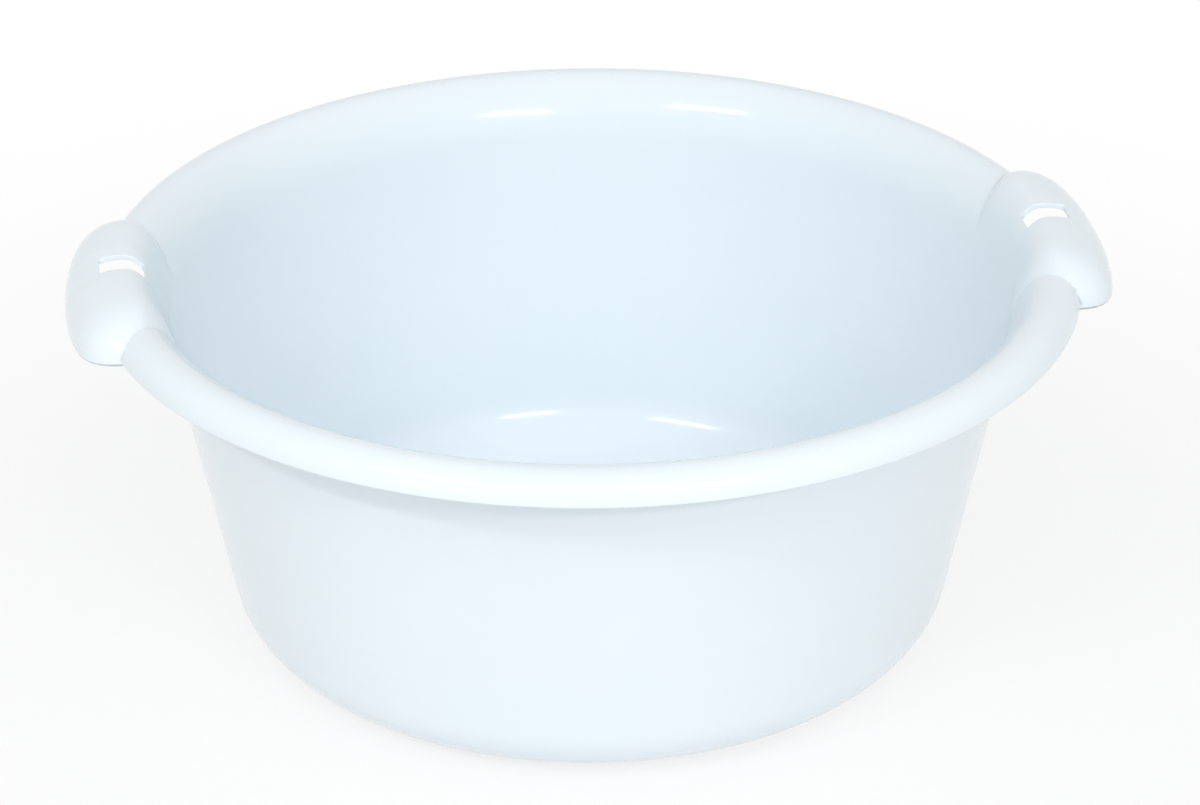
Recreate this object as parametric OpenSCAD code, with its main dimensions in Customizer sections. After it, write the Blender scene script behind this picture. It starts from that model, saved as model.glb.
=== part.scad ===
// A round washing-up bowl with a rolled rim and two hooded handles.
// The bowl is one moulding. Its regions are separate solids that meet face to face.
// Millimetres, +Z up. The origin is on the table under the bowl's centre, and +X runs through a handle.

/* [Bowl] */
// Radius of the rim's outer edge
rim_r = 190; // [150:1:230]
// Height of the rim's crest above the table
bowl_h = 158; // [110:1:200]
// Lean of the wall from upright, in degrees
wall_lean = 11.3; // [4:0.1:16]
// Thickness of the base, the wall and the rim
shell_t = 2; // [1.6:0.1:3]
// Outer radius of the curve between base and wall
heel_curve = 28.5; // [12:0.5:38]

/* [Rim] */
// Width of the rim outside the wall
rim_w = 25; // [20:0.5:34]
// Distance of the rim's crest inside its outer edge
crest_inset = 10; // [6:0.5:14]
// Depth of the rim's outer edge below its crest
rim_drop = 10.5; // [6:0.5:16]
// Depth of the rounding from the crest down to the wall
rim_round = 22; // [14:0.5:28]

/* [Handles] */
// Angle round the bowl from a handle's middle to the end of its outer edge
handle_half_angle = 16.8; // [14:0.1:26]
// How many degrees sooner the handle ends at the wall
foot_skew = 4; // [0:0.1:6]
// Height of the handle's crest above the rim's
handle_rise = 6.5; // [4:0.5:16]
// Reach of the handle outside the rim's edge
handle_out = 12.5; // [6:0.5:20]
// Depth of the handle's edge below the rim's edge
handle_drop = 2; // [0:0.5:9]
// Depth of the shallow valley across the handle, where the slot is
valley_depth = 0.6; // [0:0.1:2]
// Width of that valley, along the rim
valley_width = 21; // [14:0.5:28]
// Length of the slot, towards the bowl's middle
slot_length = 17; // [12:0.5:24]
// Width of the slot, along the rim
slot_width = 12; // [6:0.5:20]
// Radius of the slot's corners
slot_corner = 1; // [0.5:0.5:3]
// Distance of the slot's inner end inside the crest
slot_inset = 8.5; // [5:0.5:11]

/* [Base] */
// Height of the standing ring under the base
ring_h = 1.2; // [0.8:0.2:4]
// Width of the standing ring
ring_w = 3; // [2:0.5:6]
// Distance of the standing ring's outer side inside the flat of the base
ring_inset = 8; // [2:1:20]
// Radius of the shallow well round the moulding point
gate_r = 7; // [4:0.5:12]
// Depth of that well
gate_depth = 0.6; // [0.3:0.1:1.2]

/* [Hidden] */
$fn = 144;
bowl_colour = "#e9f4fb";

// The wall is a cone. Its thickness is measured square to it, and across_t is the same measured level.
across_t = shell_t / cos(wall_lean);
wall_top_z = bowl_h - rim_round;
wall_top_r = rim_r - rim_w;

// The heel's curve touches the wall and the flat of the base.
heel_z = ring_h + heel_curve;
flat_r = wall_top_r - (wall_top_z - heel_z) * tan(wall_lean) - heel_curve / cos(wall_lean);
heel_inner = heel_curve - shell_t;

// The rolled section: a quarter oval from the crest to the wall, and another from the crest to the edge.
// An oval of fullness 2 is an ellipse, and a higher one has a squarer shoulder. The handles are fuller
// than the rim on their inner side.
crest_r = rim_r - crest_inset;
fullness = 2;
hood_fullness = 2.5;
round_steps = 12;
lip_angles = [0, 35, 65, 82];

// A handle ends along a slanted line: at its half angle on the rim's edge, and sooner towards the wall.
// squareness is how long the handle keeps its full shape, and blend is how softly its end runs out.
squareness = 8;
blend = 1.1;
function foot_angle(r) = handle_half_angle - foot_skew * (rim_r - r) / rim_w;
function share(a, r) = pow(max(0, 1 - pow(abs(a) / foot_angle(r), squareness)), blend);

// The valley across the handle, as a depth at angle a.
valley_squareness = 4;
valley_half_angle = asin(valley_width / 2 / crest_r);
function valley(a) = valley_depth * exp(-pow(abs(a) / valley_half_angle, valley_squareness));

// The angles of a handle's sections: close together across the valley and on the shoulders.
valley_edge = 1.5 * valley_half_angle;
shoulder = 0.5 * handle_half_angle;
valley_steps = 5;
level_steps = 3;
shoulder_steps = 9;
function spread(from, to, steps) = [for (i = [1:steps]) from + (to - from) * i / steps];
half_angles = concat(
    spread(0, valley_edge, valley_steps),
    spread(valley_edge, shoulder, level_steps),
    spread(shoulder, handle_half_angle, shoulder_steps)
);

// One face of a rolled section, as [radius, height] from the wall to the edge. full is 0 for the rim and 1
// for the middle of a handle, sink lowers the crest, and inset is the depth of the face in the thickness.
function rolled_face(full, sink, inset) =
    let (
        top_z = bowl_h + handle_rise * full - sink - inset,
        edge_r = rim_r + handle_out * full - inset,
        edge_z = bowl_h - rim_drop - handle_drop * full,
        inner_power = 2 / (fullness + (hood_fullness - fullness) * full),
        outer_power = 2 / fullness,
        lean = tan(wall_lean),
        foot_r = wall_top_r - across_t * (1 - inset / shell_t) + lean * (top_z - wall_top_z)
    )
    concat(
        [for (i = [round_steps:-1:0])
            let (
                turn = 90 * i / round_steps,
                z = wall_top_z + (top_z - wall_top_z) * pow(cos(turn), inner_power)
            )
            [crest_r - (crest_r - foot_r) * pow(sin(turn), inner_power) - lean * (top_z - z), z]],
        [for (i = [1:round_steps])
            let (turn = 90 * i / round_steps)
            [
                crest_r + (edge_r - crest_r) * pow(sin(turn), outer_power),
                edge_z + (top_z - edge_z) * pow(cos(turn), outer_power)
            ]]
    );

// The face at angle a from a handle's middle: the handle's section, which runs out into the rim's.
rim_upper = rolled_face(0, 0, 0);
function blended_face(a, inset) =
    let (rim = rolled_face(0, 0, inset), hood = rolled_face(1, valley(a), inset))
    [for (i = [0:len(rim) - 1]) rim[i] + share(a, rim_upper[i][0]) * (hood[i] - rim[i])];

// The rounded lip under the edge, on its outer side (side = 1) or its inner side (side = -1).
function lip(a, side) =
    let (
        full = share(a, rim_r),
        mid_r = rim_r + handle_out * full - shell_t / 2,
        edge_z = bowl_h - rim_drop - handle_drop * full
    )
    [for (i = [1:len(lip_angles) - 1])
        [mid_r + side * shell_t / 2 * cos(lip_angles[i]), edge_z - shell_t / 2 * sin(lip_angles[i])]];

function upper_line(a) = concat(blended_face(a, 0), lip(a, 1));
function lower_line(a) = concat(blended_face(a, shell_t), lip(a, -1));
function reversed(list) = [for (i = [len(list) - 1:-1:0]) list[i]];
function placed(line, a) = [for (p = line) [p[0] * cos(a), p[0] * sin(a), p[1]]];

// Two triangles for the four corners p, q, r, s of a patch, in turn round its edge.
function patch(p, q, r, s) = [[p, q, r], [p, r, s]];

// The flat floor, with the shallow well round the moulding point and the point's trimmed stub.
module base_panel() {
    stub_r = gate_r / 4;
    color(bowl_colour)
    translate([0, 0, ring_h])
    difference() {
        cylinder(r = flat_r, h = shell_t);
        translate([0, 0, -1])
        difference() {
            cylinder(r = gate_r, h = 1 + gate_depth);
            translate([0, 0, 1 + gate_depth / 2])
                cylinder(r = stub_r, h = gate_depth);
        }
    }
}

// The low ring that the bowl stands on.
module standing_ring() {
    ring_r = flat_r - ring_inset;
    color(bowl_colour)
    difference() {
        cylinder(r = ring_r, h = ring_h);
        translate([0, 0, -1])
            cylinder(r = ring_r - ring_w, h = ring_h + 2);
    }
}

// The curve between base and wall: a ring of that section, cut square to the base and square to the wall.
module heel() {
    far = 2 * heel_curve;
    color(bowl_colour)
    rotate_extrude()
    translate([flat_r, heel_z])
    intersection() {
        difference() {
            circle(r = heel_curve);
            circle(r = heel_inner);
        }
        polygon([
            [0, 0], [0, -far], [far * cos(wall_lean), -far],
            [far * cos(wall_lean), -far * sin(wall_lean)]
        ]);
    }
}

// The cone between the heel and the rim.
module side_wall() {
    color(bowl_colour)
    rotate_extrude()
    polygon([
        [flat_r + heel_inner * cos(wall_lean), heel_z - heel_inner * sin(wall_lean)],
        [flat_r + heel_curve * cos(wall_lean), heel_z - heel_curve * sin(wall_lean)],
        [wall_top_r, wall_top_z],
        [wall_top_r - across_t, wall_top_z]
    ]);
}

// The rolled rim between the two handles.
module rim_half() {
    end = handle_half_angle;
    rotate([0, 0, end])
    rotate_extrude(angle = 180 - 2 * end)
    polygon(concat(upper_line(end), reversed(lower_line(end))));
}

module front_rim() {
    color(bowl_colour)
    rotate([0, 0, 180])
    rim_half();
}

module back_rim() {
    color(bowl_colour)
    rim_half();
}

// The hood: rolled sections from one end of the handle to the other. Each ends as the rim does.
module hood() {
    angles = concat([for (a = reversed(half_angles)) -a], [0], half_angles);
    steps = len(angles) - 1;
    n = len(upper_line(0));
    ring = 2 * n;
    points = [for (a = angles) each concat(placed(upper_line(a), a), placed(lower_line(a), a))];
    skins = [for (k = [0:steps - 1], i = [0:n - 2])
        let (u = k * ring + i, l = u + n)
        each concat(patch(u, u + 1, u + ring + 1, u + ring), patch(l, l + ring, l + ring + 1, l + 1))];
    seams = [for (k = [0:steps - 1])
        let (foot = k * ring, lip_end = foot + n - 1)
        each concat(
            patch(foot, foot + ring, foot + ring + n, foot + n),
            patch(lip_end, lip_end + n, lip_end + ring + n, lip_end + ring)
        )];
    last = steps * ring;
    ends = [for (i = [0:n - 2])
        each concat(patch(i, i + n, i + n + 1, i + 1), patch(last + i, last + i + 1, last + i + n + 1, last + i + n))];
    polyhedron(points = points, faces = concat(skins, seams, ends));
}

// The slot through the crest, as a flat outline with its inner end towards the bowl.
module slot_outline() {
    straight_l = slot_length - 2 * slot_corner;
    straight_w = slot_width - 2 * slot_corner;
    square([straight_l, slot_width], center = true);
    square([slot_length, straight_w], center = true);
    for (x = [-1, 1], y = [-1, 1])
        translate([x * straight_l / 2, y * straight_w / 2])
            circle(r = slot_corner);
}

module handle() {
    slot_mid = crest_r - slot_inset + slot_length / 2;
    difference() {
        hood();
        translate([slot_mid, 0, bowl_h - rim_drop])
            linear_extrude(height = rim_drop + 2 * handle_rise)
                slot_outline();
    }
}

module left_handle() {
    color(bowl_colour)
    rotate([0, 0, 180])
    handle();
}

module right_handle() {
    color(bowl_colour)
    handle();
}

base_panel();
standing_ring();
heel();
side_wall();
front_rim();
back_rim();
left_handle();
right_handle();
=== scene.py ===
"""A round white washing-up bowl with a rolled rim and two hooded, slotted handles, around its CAD frame."""
import math

import bpy
import numpy as np
from mathutils import Matrix, Vector


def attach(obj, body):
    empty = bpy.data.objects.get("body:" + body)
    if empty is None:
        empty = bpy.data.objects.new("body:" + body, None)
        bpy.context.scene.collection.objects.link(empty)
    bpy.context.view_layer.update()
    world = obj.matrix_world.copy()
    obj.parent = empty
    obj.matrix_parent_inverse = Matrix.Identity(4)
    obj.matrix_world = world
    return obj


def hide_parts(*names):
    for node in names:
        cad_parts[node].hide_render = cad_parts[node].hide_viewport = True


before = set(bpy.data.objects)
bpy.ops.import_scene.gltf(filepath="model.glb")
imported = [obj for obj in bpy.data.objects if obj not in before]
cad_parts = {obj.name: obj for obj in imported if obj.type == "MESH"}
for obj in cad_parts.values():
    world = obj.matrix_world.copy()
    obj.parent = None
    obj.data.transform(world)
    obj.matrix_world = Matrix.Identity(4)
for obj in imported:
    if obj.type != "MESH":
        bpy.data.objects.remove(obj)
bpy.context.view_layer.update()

MM = 0.001

# Sizes in millimetres, the same as the CAD part's.
RIM_R = 190.0
BOWL_H = 158.0
WALL_LEAN = 11.3
SHELL_T = 2.0
HEEL_CURVE = 28.5
RIM_W = 25.0
CREST_INSET = 10.0
RIM_DROP = 10.5
RIM_ROUND = 22.0
HALF_ANGLE = 16.8
FOOT_SKEW = 4.0
HANDLE_RISE = 6.5
HANDLE_OUT = 12.5
HANDLE_DROP = 2.0
VALLEY_DEPTH = 0.6
VALLEY_WIDTH = 21.0
SLOT_LENGTH = 17.0
SLOT_WIDTH = 12.0
SLOT_CORNER = 1.0
SLOT_INSET = 8.5
RING_H = 1.2
RING_W = 3.0
RING_INSET = 8.0
GATE_R = 7.0
GATE_DEPTH = 0.6
FULLNESS = 2.0
HOOD_FULLNESS = 2.5
SQUARENESS = 8
BLEND = 1.1
VALLEY_SQUARENESS = 4

LEAN = math.tan(math.radians(WALL_LEAN))
COS_LEAN = math.cos(math.radians(WALL_LEAN))
SIN_LEAN = math.sin(math.radians(WALL_LEAN))
ACROSS_T = SHELL_T / COS_LEAN
WALL_TOP_Z = BOWL_H - RIM_ROUND
WALL_TOP_R = RIM_R - RIM_W
HEEL_Z = RING_H + HEEL_CURVE
FLAT_R = WALL_TOP_R - (WALL_TOP_Z - HEEL_Z) * LEAN - HEEL_CURVE / COS_LEAN
HEEL_INNER = HEEL_CURVE - SHELL_T
CREST_R = RIM_R - CREST_INSET
VALLEY_HALF_ANGLE = math.degrees(math.asin(VALLEY_WIDTH / 2 / CREST_R))

# How finely the surfaces are divided. Each half of a section is measured from DENSE points, and the slot is
# cut in a block of rows that reaches SLOT_SPAN degrees each way.
DENSE = 241
INNER_ROWS = 34
OUTER_ROWS = 26
LIP_ROWS = 10
SLOT_SPAN = 4.0
SLOT_COLUMNS = 32
SHOULDER_COLUMNS = 40
RIM_COLUMNS = 150
PATCH_RINGS = 6
FILLET_STEPS = 4
SLOT_FILLET = 0.55
SLOT_FILLET_UNDER = 0.35
FLOOR_STEPS = 20
WELL_STEPS = 4
STUB_STEPS = 2
RING_STEPS = 2
RING_EDGE_STEPS = 4
HEEL_STEPS = 16
WALL_STEPS = 14

# A slope is measured over this many degrees round the bowl, and this share of half a section.
ANGLE_STEP = 0.02
PLACE_STEP = 0.004

# TINY is as good as nothing. Points are joined where they agree to JOIN_DECIMALS, in millimetres.
TINY = 1e-12
JOIN_DECIMALS = 4
ANGLE_DECIMALS = 9

# Columns round the bowl, in degrees: one handle's, measured from its middle, and one rim half's.
HANDLE_ANGLES = np.unique(np.round(np.concatenate([
    np.linspace(-HALF_ANGLE, -SLOT_SPAN, SHOULDER_COLUMNS + 1),
    np.linspace(-SLOT_SPAN, SLOT_SPAN, SLOT_COLUMNS + 1),
    np.linspace(SLOT_SPAN, HALF_ANGLE, SHOULDER_COLUMNS + 1)]), ANGLE_DECIMALS))
HALF_RIM_ANGLES = np.linspace(HALF_ANGLE, 180 - HALF_ANGLE, RIM_COLUMNS + 1)
ROUND_ANGLES = np.concatenate([HANDLE_ANGLES[:-1], HALF_RIM_ANGLES[:-1],
                               HANDLE_ANGLES[:-1] + 180, HALF_RIM_ANGLES + 180])

# Rows along a rolled section: 0 is the wall, 1 is the crest and 2 is the edge.
PLACES = np.concatenate([np.linspace(0, 1, INNER_ROWS + 1), np.linspace(1, 2, OUTER_ROWS + 1)[1:]])


def share_at(a, r):
    """How much of a handle's full shape there is at angle a from its middle, where the rim's radius is r."""
    foot = HALF_ANGLE - FOOT_SKEW * (RIM_R - r) / RIM_W
    return np.maximum(0.0, 1.0 - (np.abs(a) / foot) ** SQUARENESS) ** BLEND


def valley_at(a):
    """Depth of the shallow valley across the handle at angle a from its middle."""
    return VALLEY_DEPTH * np.exp(-(np.abs(a) / VALLEY_HALF_ANGLE) ** VALLEY_SQUARENESS)


def rolled_face(full, sink, inset):
    """A rolled section: radius and height from the wall to the crest, and on to the edge.

    full is 0 for the rim and 1 for a handle's middle, sink lowers the crest, and inset is the depth in the
    thickness.
    """
    top_z = BOWL_H + HANDLE_RISE * full - sink - inset
    edge_r = RIM_R + HANDLE_OUT * full - inset
    edge_z = BOWL_H - RIM_DROP - HANDLE_DROP * full
    inner = 2 / (FULLNESS + (HOOD_FULLNESS - FULLNESS) * full)
    outer = 2 / FULLNESS
    foot_r = WALL_TOP_R - ACROSS_T * (1 - inset / SHELL_T) + LEAN * (top_z - WALL_TOP_Z)
    turn = np.linspace(0, np.pi / 2, DENSE)[None, :]
    sin, cos = np.sin(turn), np.cos(turn)
    cos[0, -1] = 0.0
    z1 = WALL_TOP_Z + (top_z - WALL_TOP_Z) * cos[:, ::-1] ** inner
    r1 = CREST_R - (CREST_R - foot_r) * sin[:, ::-1] ** inner - LEAN * (top_z - z1)
    r2 = CREST_R + (edge_r - CREST_R) * sin ** outer
    z2 = edge_z + (top_z - edge_z) * cos ** outer
    return r1, z1, r2, z2


def rolled(a, inset):
    """The section at each angle of a: a handle's, which runs out into the rim's."""
    a = np.atleast_1d(np.asarray(a, float))[:, None]
    guide = rolled_face(0, 0, 0)
    rim_face = rolled_face(0, 0, inset)
    hood_face = rolled_face(1, valley_at(a), inset)
    inner, outer = share_at(a, guide[0]), share_at(a, guide[2])
    return tuple(r + w * (h - r) for r, h, w in zip(rim_face, hood_face, (inner, inner, outer, outer)))


def along(r, z):
    """Distance along each row's line, from 0 to 1."""
    step = np.hypot(np.diff(r, axis=1), np.diff(z, axis=1))
    total = np.concatenate([np.zeros((len(r), 1)), np.cumsum(step, axis=1)], axis=1)
    return total / total[:, -1:]


def section_point(a, s, inset):
    """Radius and height at each angle of a and its own place in s."""
    r1, z1, r2, z2 = rolled(a, inset)
    l1, l2 = along(r1, z1), along(r2, z2)
    out_r, out_z = np.empty(len(s)), np.empty(len(s))
    for k, place in enumerate(s):
        if place <= 1:
            out_r[k] = np.interp(place, l1[k], r1[k])
            out_z[k] = np.interp(place, l1[k], z1[k])
        else:
            out_r[k] = np.interp(place - 1, l2[k], r2[k])
            out_z[k] = np.interp(place - 1, l2[k], z2[k])
    return out_r, out_z


def place_at(a, r, inset):
    """The place s on the section at angle a where the radius is r."""
    r1, z1, r2, z2 = rolled(a, inset)
    l1, l2 = along(r1, z1), along(r2, z2)
    out = np.empty(len(r))
    for k, radius in enumerate(r):
        if radius <= r1[k, -1]:
            out[k] = np.interp(radius, r1[k], l1[k])
        else:
            out[k] = 1 + np.interp(radius, r2[k], l2[k])
    return out


def to_space(a, r, z):
    """Points at angle a, radius r and height z."""
    a = np.radians(a)
    return np.stack([r * np.cos(a), r * np.sin(a), z], axis=-1)


def unit(v):
    """Each vector at length 1."""
    return v / np.maximum(np.linalg.norm(v, axis=-1, keepdims=True), TINY)


def skin(a, s, inset):
    """Points and outward normals of the rolled skin at paired a and s, on its upper or lower face."""
    a, s = np.asarray(a, float), np.asarray(s, float)
    here = to_space(a, *section_point(a, s, inset))
    lo = np.clip(a - ANGLE_STEP, -HALF_ANGLE, HALF_ANGLE)
    hi = np.clip(a + ANGLE_STEP, -HALF_ANGLE, HALF_ANGLE)
    round_way = to_space(hi, *section_point(hi, s, inset)) - to_space(lo, *section_point(lo, s, inset))
    back, ahead = np.clip(s - PLACE_STEP, 0, 2), np.clip(s + PLACE_STEP, 0, 2)
    length_way = to_space(a, *section_point(a, ahead, inset)) - to_space(a, *section_point(a, back, inset))
    normal = unit(np.cross(length_way, round_way))
    return here, (normal if inset == 0 else -normal)


class Shell:
    """Collects grids of points with their normals into one closed mesh."""

    def __init__(self):
        self.points, self.normals, self.faces = [], [], []
        self.count = 0

    def add(self, points, normals):
        """One grid. Faces turn the way that the normals point. Repeated points in a face are dropped."""
        rows, columns = points.shape[:2]
        base = self.count + np.arange(rows * columns).reshape(rows, columns)
        quads = np.stack([base[:-1, :-1], base[:-1, 1:], base[1:, 1:], base[1:, :-1]], axis=-1)
        quads = quads.reshape(-1, 4)
        flat, ways = points.reshape(-1, 3), normals.reshape(-1, 3)
        local = quads - self.count
        turned = np.cross(flat[local[:, 2]] - flat[local[:, 0]], flat[local[:, 3]] - flat[local[:, 1]])
        wrong = (turned * ways[local].sum(axis=1)).sum(axis=1) < 0
        quads[wrong] = quads[wrong][:, ::-1]
        self.points.append(flat)
        self.normals.append(ways)
        self.faces.append(quads)
        self.count += rows * columns

    def build(self, name, mirror=False):
        """The object, with coincident points joined and each face corner keeping its own normal."""
        points = np.concatenate(self.points)
        normals = unit(np.concatenate(self.normals))
        faces = np.concatenate(self.faces)
        if mirror:
            points = points * [-1, -1, 1]
            normals = normals * [-1, -1, 1]
        _, first, same = np.unique(
            np.round(points, JOIN_DECIMALS), axis=0, return_index=True, return_inverse=True)
        same = same.reshape(-1)
        used, corner_ways = [], []
        for quad in faces:
            joined = same[quad]
            keep = [k for k in range(4) if joined[k] != joined[k - 1]]
            if len(keep) > 2:
                used.append([int(joined[k]) for k in keep])
                corner_ways.extend(normals[quad[keep]].tolist())
        mesh = bpy.data.meshes.new(name)
        mesh.from_pydata((points[first] * MM).tolist(), [], used)
        mesh.polygons.foreach_set("use_smooth", [True] * len(mesh.polygons))
        mesh.update()
        mesh.normals_split_custom_set(corner_ways)
        made = bpy.data.objects.new(name, mesh)
        bpy.context.collection.objects.link(made)
        return made


def revolved(lines, angles):
    """A closed solid turned about Z. Each line is (radii, heights, normal radii, normal heights)."""
    shell = Shell()
    for r, z, nr, nz in lines:
        r, z = np.asarray(r, float)[:, None], np.asarray(z, float)[:, None]
        nr = np.broadcast_to(np.asarray(nr, float).reshape(-1, 1), r.shape)
        nz = np.broadcast_to(np.asarray(nz, float).reshape(-1, 1), z.shape)
        a = np.asarray(angles, float)[None, :]
        shell.add(to_space(a, r + 0 * a, z + 0 * a), to_space(a, nr + 0 * a, nz + 0 * a))
    return shell


def arc(centre_r, centre_z, radius, start, end, steps, sign=1):
    """A line for revolved(): an arc from start to end degrees. With sign -1 its normals point inwards."""
    t = np.radians(np.linspace(start, end, steps + 1))
    return centre_r + radius * np.cos(t), centre_z + radius * np.sin(t), sign * np.cos(t), sign * np.sin(t)


def straight(p, q, normal, steps=1):
    """A line for revolved(): straight from p to q, as (radius, height)."""
    t = np.linspace(0, 1, steps + 1)
    return (p[0] + (q[0] - p[0]) * t, p[1] + (q[1] - p[1]) * t,
            np.full(steps + 1, float(normal[0])), np.full(steps + 1, float(normal[1])))


def skin_grid(angles, places, inset):
    """Points and normals of the rolled skin over a grid of places (rows) and angles (columns)."""
    a, s = np.meshgrid(angles, places)
    here, normal = skin(a.ravel(), s.ravel(), inset)
    return here.reshape(a.shape + (3,)), normal.reshape(a.shape + (3,))


def lip_grid(angles):
    """The rounded lip under the edge, from its outer side to its inner side."""
    t = np.radians(np.linspace(0, 180, LIP_ROWS + 1))[:, None]
    a = np.asarray(angles, float)[None, :]
    full = share_at(a, RIM_R)
    mid_r = RIM_R + HANDLE_OUT * full - SHELL_T / 2
    edge_z = BOWL_H - RIM_DROP - HANDLE_DROP * full
    half = SHELL_T / 2
    points = to_space(a, mid_r + half * np.cos(t), edge_z - half * np.sin(t))
    return points, to_space(a, np.cos(t) + 0 * a, -np.sin(t) + 0 * a)


def end_face(shell, a, way):
    """Closes the rolled section at angle a. way is the side that the face looks to."""
    upper, _ = skin_grid(np.array([a]), PLACES, 0)
    lower, _ = skin_grid(np.array([a]), PLACES, SHELL_T)
    normal = np.array([-math.sin(math.radians(a)), math.cos(math.radians(a)), 0.0]) * way
    across = np.concatenate([upper, lower], axis=1)
    shell.add(across, np.broadcast_to(normal, across.shape))
    lip, _ = lip_grid([a])
    half = LIP_ROWS // 2
    tip = np.concatenate([lip[:half + 1], lip[::-1][:half + 1]], axis=1)
    shell.add(tip, np.broadcast_to(normal, tip.shape))


def foot_face(shell, angles):
    """Closes the section where it meets the wall."""
    upper, _ = skin_grid(angles, np.array([0.0]), 0)
    lower, _ = skin_grid(angles, np.array([0.0]), SHELL_T)
    across = np.concatenate([upper, lower], axis=0)
    shell.add(across, np.broadcast_to(np.array([0, 0, -1.0]), across.shape))


def rim_line(inset):
    """A line for revolved(): one face of the rim's section."""
    end = np.full(len(PLACES), HALF_ANGLE)
    r, z = section_point(end, PLACES, inset)
    ahead_r, ahead_z = section_point(end, np.clip(PLACES + PLACE_STEP, 0, 2), inset)
    back_r, back_z = section_point(end, np.clip(PLACES - PLACE_STEP, 0, 2), inset)
    sign = 1 if inset == 0 else -1
    return r, z, sign * (back_z - ahead_z), sign * (ahead_r - back_r)


def rim_shell():
    """The rim between the handles, on the side of +Y, with the end faces that meet the handles'."""
    lip_r = RIM_R - SHELL_T / 2
    shell = revolved([
        rim_line(0),
        rim_line(SHELL_T),
        arc(lip_r, BOWL_H - RIM_DROP, SHELL_T / 2, 0, -180, LIP_ROWS),
        straight(wall_top_in, wall_top, (0, -1)),
    ], HALF_RIM_ANGLES)
    end_face(shell, HALF_ANGLE, -1)
    end_face(shell, 180 - HALF_ANGLE, 1)
    return shell


def slot_loop(columns, rows):
    """The slot's outline in plan, one point for each step round its block, and the outward way at each."""
    middle = CREST_R - SLOT_INSET + SLOT_LENGTH / 2
    half_l, half_w, c = SLOT_LENGTH / 2, SLOT_WIDTH / 2, SLOT_CORNER
    corners = [(-1, -1), (1, -1), (1, 1), (-1, 1)]
    points, ways = [], []
    for k, steps in enumerate((rows, columns, rows, columns)):
        sx, sy = corners[k]
        ex, ey = corners[(k + 1) % 4]
        start, end = math.atan2(sy, sx), math.atan2(ey, ex)
        if end < start:
            end += 2 * math.pi
        side = (start + end) / 2
        flat = 2 * ((half_l if sx != ex else half_w) - c)
        half_corner = c * math.pi / 4
        total = flat + 2 * half_corner
        for j in range(steps):
            d = total * (1 - math.cos(math.pi * j / steps)) / 2
            if d < half_corner:
                way = start + d / c
                centre = (sx * (half_l - c), sy * (half_w - c))
            elif d > total - half_corner:
                way = end - (total - d) / c
                centre = (ex * (half_l - c), ey * (half_w - c))
            else:
                way = side
                f = (d - half_corner) / flat
                centre = ((sx + (ex - sx) * f) * (half_l - c), (sy + (ey - sy) * f) * (half_w - c))
            points.append((middle + centre[0] + c * math.cos(way), centre[1] + c * math.sin(way)))
            ways.append((math.cos(way), math.sin(way)))
    return np.array(points), np.array(ways)


def slot_rings(inset, fillet):
    """Rings of points and normals from the block's border on one skin in to the slot's wall."""
    columns, (s_lo, s_hi) = SLOT_COLUMNS, SLOT_BLOCK
    first, last = np.searchsorted(PLACES, [s_lo - TINY, s_hi - TINY])
    rows = last - first
    xs = PLACES[first:last + 1]
    ys = np.linspace(-SLOT_SPAN, SLOT_SPAN, columns + 1)
    border = ([(-SLOT_SPAN, s) for s in xs[:-1]] + [(a, xs[-1]) for a in ys[:-1]]
              + [(SLOT_SPAN, s) for s in xs[::-1][:-1]] + [(a, xs[0]) for a in ys[::-1][:-1]])
    border = np.array(border)
    outline, ways = slot_loop(columns, rows)
    edge = outline + ways * fillet
    a_in = np.degrees(np.arctan2(edge[:, 1], edge[:, 0]))
    s_in = place_at(a_in, np.hypot(edge[:, 0], edge[:, 1]), inset)
    rings = []
    for k in range(PATCH_RINGS + 1):
        even = k / PATCH_RINGS
        f = even * (2 - even)
        rings.append(skin(border[:, 0] * (1 - f) + a_in * f, border[:, 1] * (1 - f) + s_in * f, inset))
    sign = 1 if inset == 0 else -1
    inward = np.concatenate([-ways, np.zeros((len(ways), 1))], axis=1)
    for k in range(1, FILLET_STEPS + 1):
        turn = math.pi / 2 * k / FILLET_STEPS
        spot = outline + ways * fillet * (1 - math.sin(turn))
        a = np.degrees(np.arctan2(spot[:, 1], spot[:, 0]))
        s = place_at(a, np.hypot(spot[:, 0], spot[:, 1]), inset)
        here, normal = skin(a, s, inset)
        here[:, :2] = spot
        here[:, 2] -= sign * fillet * (1 - math.cos(turn))
        rings.append((here, unit(normal * math.cos(turn) + inward * math.sin(turn))))
    points = np.stack([r[0] for r in rings])
    normals = np.stack([r[1] for r in rings])
    points = np.concatenate([points, points[:, :1]], axis=1)
    normals = np.concatenate([normals, normals[:, :1]], axis=1)
    return points, normals, (first, last), inward


def handle_shell():
    """The hooded handle on the side of +X, with its slot."""
    shell = Shell()
    walls = []
    left = SHOULDER_COLUMNS
    right = left + SLOT_COLUMNS
    for inset, fillet in ((0, SLOT_FILLET), (SHELL_T, SLOT_FILLET_UNDER)):
        points, normals = skin_grid(HANDLE_ANGLES, PLACES, inset)
        ring_points, ring_normals, (first, last), inward = slot_rings(inset, fillet)
        shell.add(points[:, :left + 1], normals[:, :left + 1])
        shell.add(points[:, right:], normals[:, right:])
        shell.add(points[:first + 1, left:right + 1], normals[:first + 1, left:right + 1])
        shell.add(points[last:, left:right + 1], normals[last:, left:right + 1])
        shell.add(ring_points, ring_normals)
        walls.append(ring_points[-1])
    inward = np.concatenate([inward, inward[:1]])
    wall = np.stack([walls[0] + (walls[1] - walls[0]) * f for f in (0, 0.5, 1)])
    shell.add(wall, np.stack([inward] * 3))
    lip, lip_normals = lip_grid(HANDLE_ANGLES)
    shell.add(lip, lip_normals)
    foot_face(shell, HANDLE_ANGLES)
    end_face(shell, -HALF_ANGLE, -1)
    end_face(shell, HALF_ANGLE, 1)
    return shell


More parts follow.
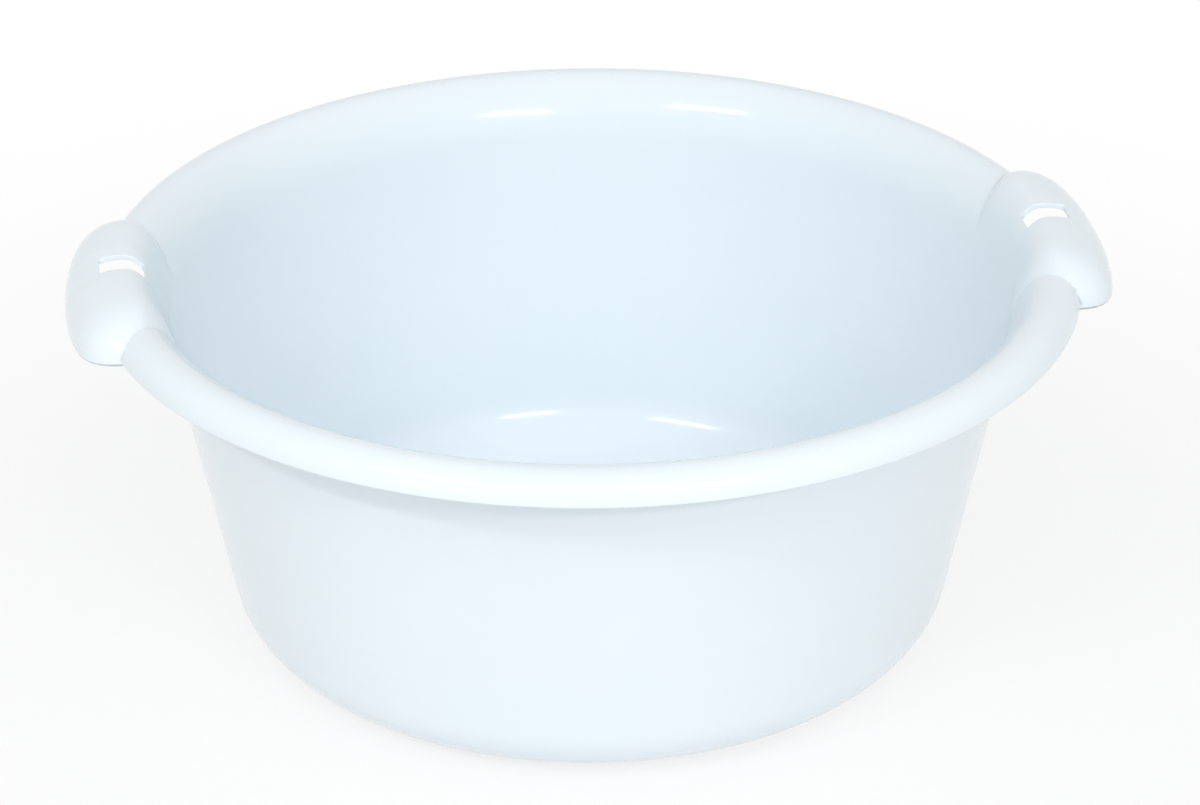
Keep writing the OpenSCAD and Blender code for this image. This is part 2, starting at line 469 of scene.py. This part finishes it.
def snapped(place):
    """The nearest row of the rolled section to a place on it."""
    return float(PLACES[np.argmin(np.abs(PLACES - place))])


# The block of rows that the slot is cut in, as places along the section. It reaches past the slot both ways.
SLOT_START = CREST_R - SLOT_INSET
SLOT_END = SLOT_START + SLOT_LENGTH
BLOCK_INSIDE = 0.16
BLOCK_OUTSIDE = 0.2
start_s, end_s = place_at(np.zeros(2), np.array([SLOT_START, SLOT_END]), 0)
SLOT_BLOCK = (snapped(start_s - BLOCK_INSIDE), snapped(end_s + BLOCK_OUTSIDE))

# Corners of the round parts' sections, as (radius, height).
heel_foot = (FLAT_R + HEEL_CURVE * COS_LEAN, HEEL_Z - HEEL_CURVE * SIN_LEAN)
heel_foot_in = (FLAT_R + HEEL_INNER * COS_LEAN, HEEL_Z - HEEL_INNER * SIN_LEAN)
wall_top = (WALL_TOP_R, WALL_TOP_Z)
wall_top_in = (WALL_TOP_R - ACROSS_T, WALL_TOP_Z)

# The standing ring's edges are rounded by RING_EDGE, and the well's wall is softened by WELL_SOFT each way.
RING_EDGE = 0.4
WELL_SOFT = 0.5
WELL_SLOPE = 0.7
WELL_EASE = 0.15
STUB_R = GATE_R / 4
ring_out = FLAT_R - RING_INSET
ring_in = ring_out - RING_W
base_top = RING_H + SHELL_T
well_z = RING_H + GATE_DEPTH
stub_z = RING_H + GATE_DEPTH / 2

base_shell = revolved([
    straight((0, base_top), (FLAT_R, base_top), (0, 1), FLOOR_STEPS),
    straight((FLAT_R, base_top), (FLAT_R, RING_H), (1, 0)),
    straight((FLAT_R, RING_H), (GATE_R + WELL_SOFT, RING_H), (0, -1), FLOOR_STEPS),
    (GATE_R + WELL_SOFT * np.array([1, 0.5, -0.5, -1]),
     RING_H + GATE_DEPTH * np.array([0, WELL_EASE, 1 - WELL_EASE, 1]),
     np.array([0, -WELL_SLOPE, -WELL_SLOPE, 0]), np.array([-1, -WELL_SLOPE, -WELL_SLOPE, -1])),
    straight((GATE_R - WELL_SOFT, well_z), (STUB_R, well_z), (0, -1), WELL_STEPS),
    straight((STUB_R, well_z), (STUB_R, stub_z), (1, 0)),
    straight((STUB_R, stub_z), (0, stub_z), (0, -1), STUB_STEPS),
], ROUND_ANGLES)

ring_shell = revolved([
    straight((ring_out, RING_H), (ring_out, RING_EDGE), (1, 0)),
    arc(ring_out - RING_EDGE, RING_EDGE, RING_EDGE, 0, -90, RING_EDGE_STEPS),
    straight((ring_out - RING_EDGE, 0), (ring_in + RING_EDGE, 0), (0, -1), RING_STEPS),
    arc(ring_in + RING_EDGE, RING_EDGE, RING_EDGE, -90, -180, RING_EDGE_STEPS),
    straight((ring_in, RING_EDGE), (ring_in, RING_H), (-1, 0)),
    straight((ring_in, RING_H), (ring_out, RING_H), (0, 1), RING_STEPS),
], ROUND_ANGLES)

heel_shell = revolved([
    arc(FLAT_R, HEEL_Z, HEEL_CURVE, -90, -WALL_LEAN, HEEL_STEPS),
    straight(heel_foot, heel_foot_in, (SIN_LEAN, COS_LEAN)),
    arc(FLAT_R, HEEL_Z, HEEL_INNER, -WALL_LEAN, -90, HEEL_STEPS, -1),
    straight((FLAT_R, base_top), (FLAT_R, RING_H), (-1, 0)),
], ROUND_ANGLES)

wall_shell = revolved([
    straight(heel_foot, wall_top, (COS_LEAN, -SIN_LEAN), WALL_STEPS),
    straight(wall_top, wall_top_in, (0, 1)),
    straight(wall_top_in, heel_foot_in, (-COS_LEAN, SIN_LEAN), WALL_STEPS),
    straight(heel_foot_in, heel_foot, (-SIN_LEAN, -COS_LEAN)),
], ROUND_ANGLES)

rim = rim_shell()
handle = handle_shell()


def node(tree, kind, **values):
    """A new node with these settings."""
    made = tree.nodes.new(kind)
    for key, value in values.items():
        setattr(made, key, value)
    return made


def fill(made, **values):
    """Sets inputs of a node. An underscore in a name stands for a space."""
    for key, value in values.items():
        made.inputs[key.replace("_", " ")].default_value = value


# The plastic. Its colour drifts slowly between the first two values, and its roughness between the next two.
# Noise scales are in waves per metre, and the ripple's depth is in metres.
BASE_LOW = (0.805, 0.886, 0.936, 1)
BASE_HIGH = (0.825, 0.901, 0.946, 1)
GLOSS_LOW = 0.12
GLOSS_HIGH = 0.15
PLASTIC_IOR = 1.49
TINT_SCALE = 14
MARKS_SCALE = 90
MARKS_ROUGHNESS = 0.65
NOISE_DETAIL = 3
RIPPLE_SCALE = 420
RIPPLE_DETAIL = 2
RIPPLE_STRENGTH = 0.25
RIPPLE_DEPTH = 0.00004
NOISE_LOW = 0.3
NOISE_HIGH = 0.7


def polypropylene():
    """Moulded gloss plastic, white with a faint blue, with changes of tint, a fine ripple and use marks."""
    material = bpy.data.materials.new("polypropylene")
    material.use_nodes = True
    tree = material.node_tree
    tree.nodes.clear()
    link = tree.links.new
    out = node(tree, "ShaderNodeOutputMaterial")
    shader = node(tree, "ShaderNodeBsdfPrincipled")
    fill(shader, IOR=PLASTIC_IOR)
    link(shader.outputs["BSDF"], out.inputs["Surface"])
    where = node(tree, "ShaderNodeTexCoord")

    def noise(scale, detail):
        made = node(tree, "ShaderNodeTexNoise")
        fill(made, Scale=scale, Detail=detail)
        link(where.outputs["Object"], made.inputs["Vector"])
        return made

    flow = noise(TINT_SCALE, NOISE_DETAIL)
    tint = node(tree, "ShaderNodeValToRGB")
    low, high = tint.color_ramp.elements
    low.position = NOISE_LOW
    low.color = BASE_LOW
    high.position = NOISE_HIGH
    high.color = BASE_HIGH
    link(flow.outputs["Fac"], tint.inputs["Fac"])
    link(tint.outputs["Color"], shader.inputs["Base Color"])
    marks = noise(MARKS_SCALE, NOISE_DETAIL)
    fill(marks, Roughness=MARKS_ROUGHNESS)
    dull = node(tree, "ShaderNodeMapRange")
    fill(dull, From_Min=NOISE_LOW, From_Max=NOISE_HIGH, To_Min=GLOSS_LOW, To_Max=GLOSS_HIGH)
    link(marks.outputs["Fac"], dull.inputs["Value"])
    link(dull.outputs["Result"], shader.inputs["Roughness"])
    ripple = noise(RIPPLE_SCALE, RIPPLE_DETAIL)
    bump = node(tree, "ShaderNodeBump")
    fill(bump, Strength=RIPPLE_STRENGTH, Distance=RIPPLE_DEPTH)
    link(ripple.outputs["Fac"], bump.inputs["Height"])
    link(bump.outputs["Normal"], shader.inputs["Normal"])
    return material


plastic = polypropylene()


def finished(made, cad_node):
    """Gives a piece its material and its body, and hides the CAD node that it replaces."""
    made.data.materials.append(plastic)
    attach(made, "root")
    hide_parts(cad_node)


finished(base_shell.build("floor_panel"), "base_panel")
finished(ring_shell.build("foot_ring"), "standing_ring")
finished(heel_shell.build("rounded_heel"), "heel")
finished(wall_shell.build("tapered_wall"), "side_wall")
finished(rim.build("rolled_rim_front", mirror=True), "front_rim")
finished(rim.build("rolled_rim_back"), "back_rim")
finished(handle.build("hooded_handle_left", mirror=True), "left_handle")
finished(handle.build("hooded_handle_right"), "right_handle")

WHITE = (1, 1, 1, 1)

# The floor: pale near the bowl, where it takes the shadow, and plain white further out. It is in metres.
FLOOR_R = 30.0
FLOOR_SIDES = 96
FLOOR_COLOUR = (0.9, 0.9, 0.9, 1)
FLOOR_WHITE = 0.78
FADE_START = 0.2
FADE_END = 0.6


def seen_ray(tree):
    """1 for camera, glossy and transmission rays, and 0 for the rest."""
    path = node(tree, "ShaderNodeLightPath")
    first = node(tree, "ShaderNodeMath", operation="MAXIMUM")
    second = node(tree, "ShaderNodeMath", operation="MAXIMUM")
    tree.links.new(path.outputs["Is Camera Ray"], first.inputs[0])
    tree.links.new(path.outputs["Is Glossy Ray"], first.inputs[1])
    tree.links.new(first.outputs[0], second.inputs[0])
    tree.links.new(path.outputs["Is Transmission Ray"], second.inputs[1])
    return second.outputs[0]


def floor_material():
    """A pale matt floor that fades to plain white for the rays that see it."""
    material = bpy.data.materials.new("pale_floor")
    material.use_nodes = True
    tree = material.node_tree
    tree.nodes.clear()
    link = tree.links.new
    out = node(tree, "ShaderNodeOutputMaterial")
    pale = node(tree, "ShaderNodeBsdfDiffuse")
    fill(pale, Color=FLOOR_COLOUR)
    white = node(tree, "ShaderNodeEmission")
    fill(white, Color=WHITE, Strength=1)
    where = node(tree, "ShaderNodeTexCoord")
    far = node(tree, "ShaderNodeVectorMath", operation="LENGTH")
    fade = node(tree, "ShaderNodeMapRange", interpolation_type="SMOOTHSTEP")
    fill(fade, From_Min=FADE_START, From_Max=FADE_END, To_Min=FLOOR_WHITE, To_Max=1.0)
    both = node(tree, "ShaderNodeMath", operation="MULTIPLY")
    mix = node(tree, "ShaderNodeMixShader")
    link(where.outputs["Object"], far.inputs[0])
    link(far.outputs["Value"], fade.inputs["Value"])
    link(fade.outputs["Result"], both.inputs[0])
    link(seen_ray(tree), both.inputs[1])
    link(both.outputs[0], mix.inputs["Fac"])
    link(pale.outputs["BSDF"], mix.inputs[1])
    link(white.outputs["Emission"], mix.inputs[2])
    link(mix.outputs["Shader"], out.inputs["Surface"])
    return material


bpy.ops.mesh.primitive_circle_add(vertices=FLOOR_SIDES, radius=FLOOR_R, fill_type="NGON")
floor = bpy.context.object
floor.name = "studio_floor"
floor.data.materials.append(floor_material())

# The world: white for the rays that see it, and the room's plain soft light for the rest.
ROOM_LIGHT = 0.54

world = bpy.data.worlds.new("studio")
bpy.context.scene.world = world
world.use_nodes = True
tree = world.node_tree
tree.nodes.clear()
sky = node(tree, "ShaderNodeBackground")
room = node(tree, "ShaderNodeBackground")
pick = node(tree, "ShaderNodeMixShader")
world_out = node(tree, "ShaderNodeOutputWorld")
fill(room, Color=WHITE, Strength=ROOM_LIGHT)
fill(sky, Color=WHITE, Strength=1)
tree.links.new(seen_ray(tree), pick.inputs["Fac"])
tree.links.new(room.outputs["Background"], pick.inputs[1])
tree.links.new(sky.outputs["Background"], pick.inputs[2])
tree.links.new(pick.outputs["Shader"], world_out.inputs["Surface"])

# The camera, as fitted to the photograph: its distance in rim radii, and its elevation and turns in degrees.
# VIEW_TURN is how far it stands round the bowl from -Y. The clipping distances are in metres.
CAM_FOCAL_PX = 4300.0
CAM_DISTANCE = 8.762
CAM_ELEVATION = 24.999
CAM_PAN = -0.1327
CAM_TILT = -2.0393
CAM_ROLL = 0.3046
VIEW_TURN = -6.9
IMAGE_WIDTH = 1200.0
SENSOR = 36.0
CLIP_NEAR = 0.05
CLIP_FAR = 100


def turned(vector, axis, degrees):
    """The vector, turned about an axis."""
    return Matrix.Rotation(math.radians(degrees), 3, axis) @ vector


def add_camera():
    """The camera looks at the middle of the rim at crest height, then turns by its pan, tilt and roll."""
    e = math.radians(CAM_ELEVATION)
    reach = CAM_DISTANCE * RIM_R * MM
    place = Vector((0, -reach * math.cos(e), reach * math.sin(e)))
    ahead = Vector((0, math.cos(e), -math.sin(e)))
    right = Vector((1, 0, 0))
    up = right.cross(ahead)
    ahead, right = turned(ahead, up, CAM_PAN), turned(right, up, CAM_PAN)
    ahead, up = turned(ahead, right, CAM_TILT), turned(up, right, CAM_TILT)
    right, up = turned(right, ahead, CAM_ROLL), turned(up, ahead, CAM_ROLL)
    pose = Matrix((right, up, -ahead)).transposed().to_4x4()
    pose.translation = place
    spin = Matrix.Rotation(math.radians(VIEW_TURN), 4, "Z")
    lift = Matrix.Translation((0, 0, BOWL_H * MM))
    data = bpy.data.cameras.new("camera")
    data.lens = CAM_FOCAL_PX / IMAGE_WIDTH * SENSOR
    data.sensor_width = SENSOR
    data.clip_start, data.clip_end = CLIP_NEAR, CLIP_FAR
    camera = bpy.data.objects.new("camera", data)
    camera.matrix_world = lift @ spin @ pose
    bpy.context.collection.objects.link(camera)
    bpy.context.scene.camera = camera


LAMP_AIM_Z = 0.1


def soft_box(name, azimuth, elevation, distance, size, power, mirrored):
    """An area lamp, aimed at the bowl. Azimuth is measured from the camera's own, to the right.

    Distance and size are in metres, and power is in watts. Only a lamp that is mirrored shows as a highlight
    in glossy surfaces.
    """
    a, e = math.radians(azimuth + VIEW_TURN), math.radians(elevation)
    back = Vector((math.sin(a) * math.cos(e), -math.cos(a) * math.cos(e), math.sin(e)))
    data = bpy.data.lights.new(name, "AREA")
    data.shape = "RECTANGLE"
    data.size, data.size_y = size
    data.energy = power
    lamp = bpy.data.objects.new(name, data)
    lamp.visible_glossy = mirrored
    lamp.location = Vector((0, 0, LAMP_AIM_Z)) + back * distance
    lamp.rotation_mode = "QUATERNION"
    lamp.rotation_quaternion = back.to_track_quat("Z", "Y")
    bpy.context.collection.objects.link(lamp)


add_camera()

# Wide lamps light the bowl, and the two narrow ones make its short bright streaks.
soft_box("key_left", -35, 40, 4.5, (4.0, 4.0), 24, False)
soft_box("key_right", 25, 40, 4.5, (4.0, 4.0), 46, False)
soft_box("high", -6, 62, 4.0, (3.0, 3.0), 11, False)
soft_box("strip_left", -36.5, 39, 2.4, (0.75, 0.1), 7.5, True)
soft_box("strip_right", 21.5, 30, 2.4, (0.65, 0.1), 6.5, True)

view = bpy.context.scene.view_settings
view.view_transform = "Standard"
